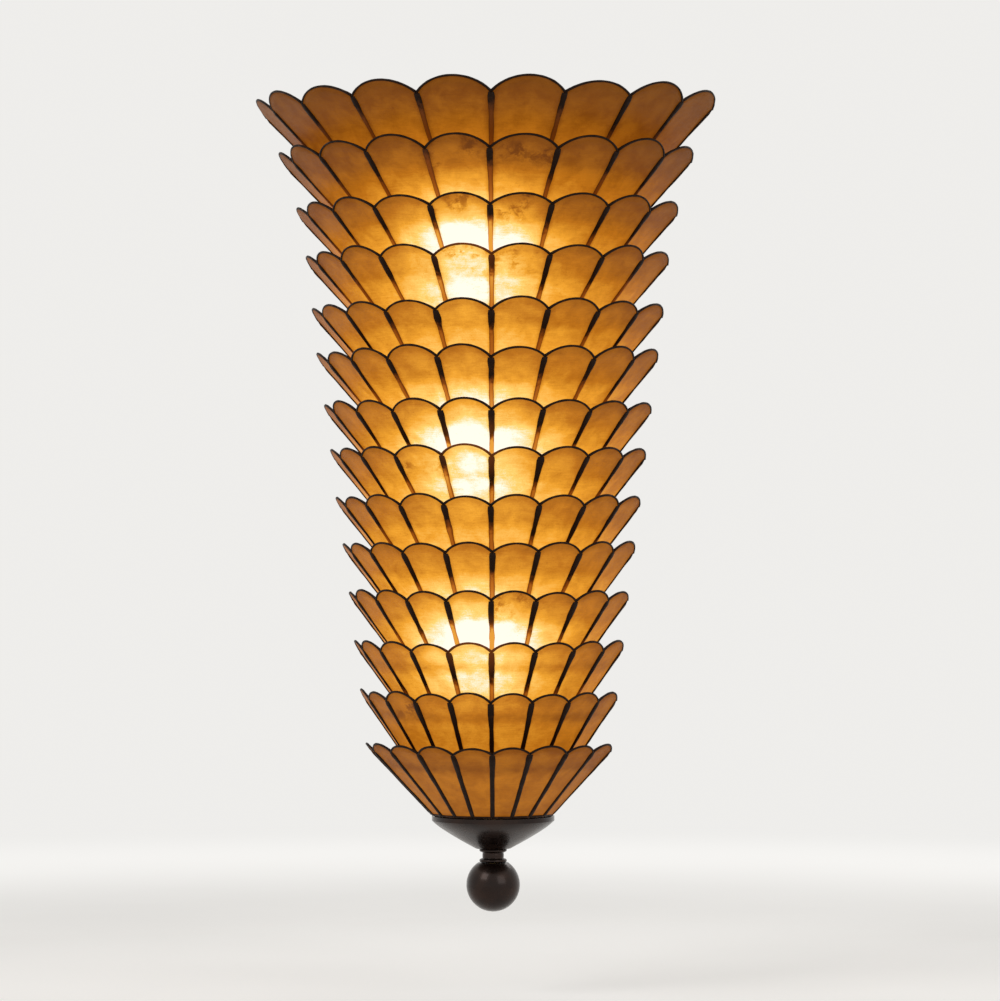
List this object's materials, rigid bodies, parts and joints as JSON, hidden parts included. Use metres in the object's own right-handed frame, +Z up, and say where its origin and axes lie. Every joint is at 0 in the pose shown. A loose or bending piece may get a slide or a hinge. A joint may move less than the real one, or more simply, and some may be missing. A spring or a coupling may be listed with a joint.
{
  "type": "shell wall sconce",
  "caption": "Half-round wall light of nested tiers of translucent shell petals edged in dark metal, over lamps on a back pan, with a cup and ball finial below.",
  "frame": {"origin": "middle of the wall strap's screw pattern, on the wall plane", "axes": "+Z up, -Y out of the wall into the room, +X to the right seen from the room"},
  "size_m": [0.3658, 0.2178, 0.6457],
  "materials": {
    "shell": "translucent shell, satin, mottled cream to amber",
    "came": "dark patinated metal edging, uneven",
    "frame_steel": "dark bronze paint, satin",
    "foot_bronze": "dark bronze, satin to glossy",
    "pan_paint": "warm white powder coat",
    "zinc_steel": "zinc plated",
    "fastener": "bright zinc",
    "holder_body": "unglazed porcelain",
    "brass": "plain brass",
    "bulb_glass": "frosted, warm white",
    "bulb_cap": "rolled thread",
    "lead": "ivory sheath",
    "rubber": "black, matte",
    "block": "natural"
  },
  "bodies": {
    "root": {"back_pan": "pan_paint", "cap_nuts": "brass", "grommets": "rubber", "holder_contacts": "brass", "holder_fixings": "fastener", "lamp_arms": "zinc_steel", "lamp_leads": "lead", "lampholders": "holder_body", "pan_screws": "fastener", "shade_hooks": "pan_paint", "strap_studs": "zinc_steel", "terminal_block": "block", "terminal_screws": "fastener", "wall_strap": "zinc_steel"},
    "hanger": {"hanger_rod": "frame_steel", "hanger_caps": "foot_bronze"},
    "shade": {"core_ribs": "frame_steel", "foot_nuts": "brass", "foot_plate": "frame_steel", "foot_rod": "brass", "side_rails": "frame_steel", "tier_01_came": "came", "tier_01_shells": "shell", "tier_02_came": "came", "tier_02_shells": "shell", "tier_03_came": "came", "tier_03_shells": "shell", "tier_04_came": "came", "tier_04_shells": "shell", "tier_05_came": "came", "tier_05_shells": "shell", "tier_06_came": "came", "tier_06_shells": "shell", "tier_07_came": "came", "tier_07_shells": "shell", "tier_08_came": "came", "tier_08_shells": "shell", "tier_09_came": "came", "tier_09_shells": "shell", "tier_10_came": "came", "tier_10_shells": "shell", "tier_11_came": "came", "tier_11_shells": "shell", "tier_12_came": "came", "tier_12_shells": "shell", "tier_13_came": "came", "tier_13_shells": "shell", "tier_14_came": "came", "tier_14_shells": "shell", "wall_bumpers": "rubber", "wall_posts": "frame_steel"},
    "cup": {"foot_cup": "foot_bronze", "foot_collar": "foot_bronze"},
    "finial": {"ball_finial": "foot_bronze"},
    "bulb_1": {"bulb_1_cap": "bulb_cap", "bulb_1_glass": "bulb_glass"},
    "bulb_2": {"bulb_2_cap": "bulb_cap", "bulb_2_glass": "bulb_glass"},
    "bulb_3": {"bulb_3_cap": "bulb_cap", "bulb_3_glass": "bulb_glass"}
  },
  "joints": [
    {"name": "shade_lift", "type": "slide", "parent": "root", "child": "hanger", "axis": [0, 0, 1], "range_m": [0, 0.012]},
    {"name": "shade_tilt", "type": "hinge", "parent": "hanger", "child": "shade", "pos_m": [0, -0.0305, 0.336], "axis": [-1, 0, 0], "range_deg": [0, 20]},
    {"name": "cup_drop", "type": "slide", "parent": "shade", "child": "cup", "axis": [0, 0, -1], "range_m": [0, 0.0085]},
    {"name": "finial_turn", "type": "hinge", "parent": "cup", "child": "finial", "pos_m": [0, -0.028, -0.27], "axis": [0, 0, -1], "range_deg": [0, 2880]},
    {"name": "bulb_1_out", "type": "slide", "parent": "root", "child": "bulb_1", "axis": [0, 0, 1], "range_m": [0, 0.025]},
    {"name": "bulb_2_out", "type": "slide", "parent": "root", "child": "bulb_2", "axis": [0, 0, 1], "range_m": [0, 0.025]},
    {"name": "bulb_3_out", "type": "slide", "parent": "root", "child": "bulb_3", "axis": [0, 0, 1], "range_m": [0, 0.025]}
  ],
  "couplings": [
    {"joint": "cup_drop", "follows": "finial_turn", "m_per_rad": 0.00015915}
  ]
}
